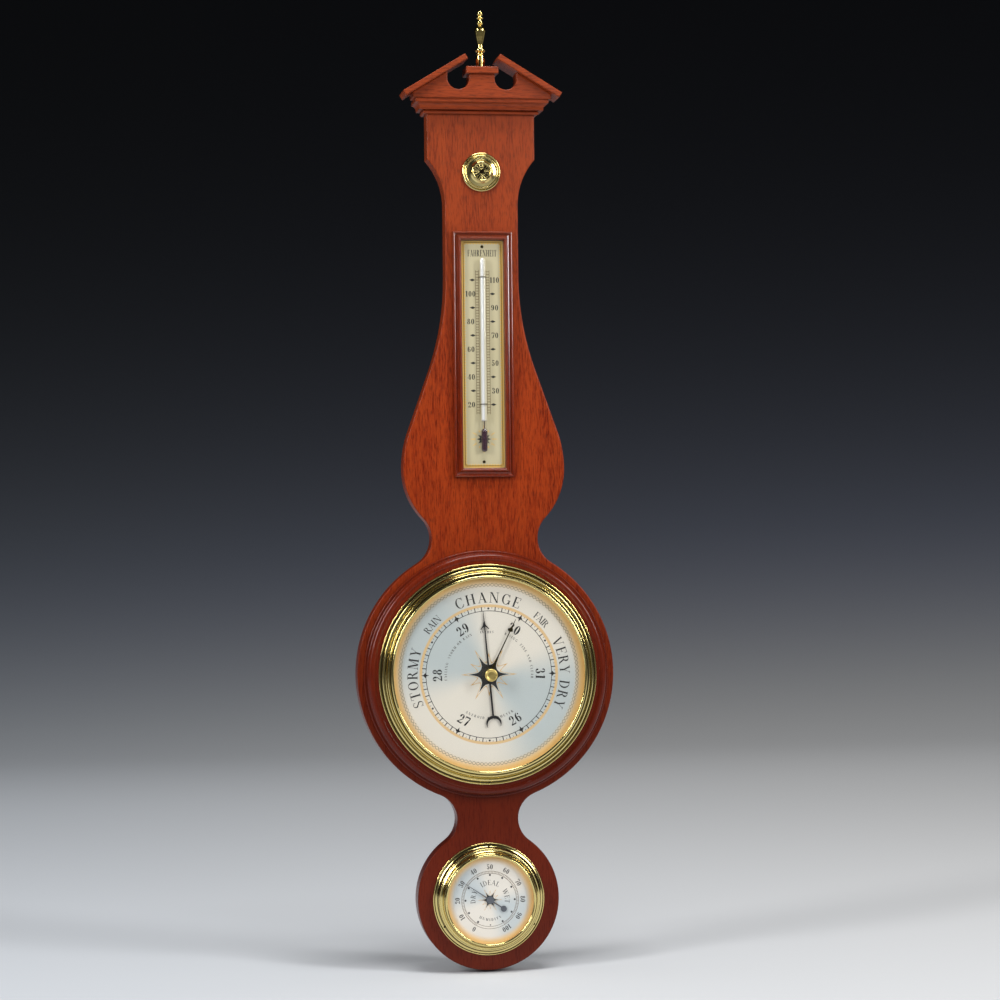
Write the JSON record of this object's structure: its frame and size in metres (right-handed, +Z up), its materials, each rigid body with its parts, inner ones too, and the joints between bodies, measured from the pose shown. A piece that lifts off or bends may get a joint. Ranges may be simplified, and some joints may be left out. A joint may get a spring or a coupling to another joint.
{
  "type": "wall barometer",
  "caption": "Banjo-shaped wooden wall barometer with brass bezels, thermometer and hygrometer, broken pediment and turned finial.",
  "frame": {"origin": "centre of the round part of the keyhole in the hanger plate, at the back face", "axes": "+Z up along the case, +Y into the wall, +X to the right as seen from the front; the dials face -Y"},
  "size_m": [0.24, 0.051, 0.891],
  "materials": {
    "case_wood": "satin lacquered mahogany",
    "moulding_wood": "satin lacquered mahogany, turned and moulded",
    "polished_brass": "polished and lacquered",
    "movement_brass": "turned brass",
    "capsule_metal": "tinned corrugated sheet",
    "spring_steel": "blued spring steel",
    "dial_silver": "silvered dial with printed scales",
    "scale_plate": "champagne plate with printed scale",
    "clear_glass": "clear",
    "spirit": "dark spirit column",
    "black_hand": "satin black",
    "set_hand_brass": "dark polished brass"
  },
  "bodies": {
    "case": {"case_board": "case_wood", "tympanum": "case_wood", "left_rake": "case_wood", "right_rake": "case_wood", "plinth_cap": "case_wood", "cornice_moulding": "case_wood", "cornice_bead": "case_wood", "dial_ring": "moulding_wood", "thermometer_frame_top": "moulding_wood", "thermometer_frame_bottom": "moulding_wood", "thermometer_frame_left": "moulding_wood", "thermometer_frame_right": "moulding_wood", "finial": "polished_brass", "rosette": "polished_brass", "barometer_bezel": "polished_brass", "hygrometer_bezel": "polished_brass", "bezel_pins": "polished_brass", "hygrometer_pins": "polished_brass", "scale_pins": "polished_brass", "tube_staples": "polished_brass", "glass_spacer": "movement_brass", "barometer_cup": "movement_brass", "movement_plate": "movement_brass", "movement_pillars": "movement_brass", "bridge_plate": "movement_brass", "rocker_brackets": "movement_brass", "front_plate": "movement_brass", "front_posts": "movement_brass", "spindle_bush": "movement_brass", "hygrometer_spacer": "movement_brass", "hygrometer_cup": "movement_brass", "hygrometer_bridge": "movement_brass", "hanger_plate": "movement_brass", "hanger_screws": "movement_brass", "aneroid_capsule": "capsule_metal", "capsule_tongue": "spring_steel", "hairspring": "spring_steel", "humidity_coil": "spring_steel", "barometer_dial": "dial_silver", "hygrometer_dial": "dial_silver", "thermometer_scale": "scale_plate", "barometer_glass": "clear_glass", "hygrometer_glass": "clear_glass", "thermometer_tube": "clear_glass", "thermometer_fluid": "spirit"},
    "hand": {"pinion_arbor": "movement_brass", "indicating_hand": "black_hand"},
    "sector": {"sector_gear": "movement_brass"},
    "rocker": {"rocker_shaft": "spring_steel"},
    "lever": {"capsule_lever": "spring_steel"},
    "setter": {"set_hand": "set_hand_brass", "set_spindle": "movement_brass", "set_knob": "polished_brass"},
    "hygrometer_needle": {"hygrometer_arbor": "spring_steel", "hygrometer_hand": "black_hand"},
    "adjuster": {"adjusting_screw": "movement_brass"}
  },
  "joints": [
    {"name": "hand_turn", "type": "hinge", "parent": "case", "child": "hand", "pos_m": [0, 0, -0.486], "axis": [0, 1, 0], "range_deg": [-205, 95]},
    {"name": "sector_turn", "type": "hinge", "parent": "case", "child": "sector", "pos_m": [0, 0, -0.5184], "axis": [0, 1, 0], "range_deg": [-12, 25.8]},
    {"name": "rocker_turn", "type": "hinge", "parent": "case", "child": "rocker", "pos_m": [-0.00155, -0.0212, -0.5144], "axis": [0, 0, 1], "range_deg": [-7.5, 16.1]},
    {"name": "lever_lift", "type": "slide", "parent": "case", "child": "lever", "axis": [0, 1, 0], "range_m": [-0.00101, 0.00047]},
    {"name": "set_hand_turn", "type": "hinge", "parent": "case", "child": "setter", "pos_m": [0, 0, -0.486], "axis": [0, 1, 0], "continuous": true},
    {"name": "humidity_turn", "type": "hinge", "parent": "case", "child": "hygrometer_needle", "pos_m": [0, 0, -0.6945], "axis": [0, 1, 0], "range_deg": [-93.7, 206.3]},
    {"name": "adjuster_turn", "type": "hinge", "parent": "case", "child": "adjuster", "pos_m": [0, 0, -0.476], "axis": [0, 1, 0], "continuous": true}
  ],
  "couplings": [
    {"joint": "sector_turn", "follows": "hand_turn", "ratio": -0.125},
    {"joint": "rocker_turn", "follows": "hand_turn", "ratio": -0.078125},
    {"joint": "lever_lift", "follows": "hand_turn", "m_per_rad": 0.00028125}
  ]
}
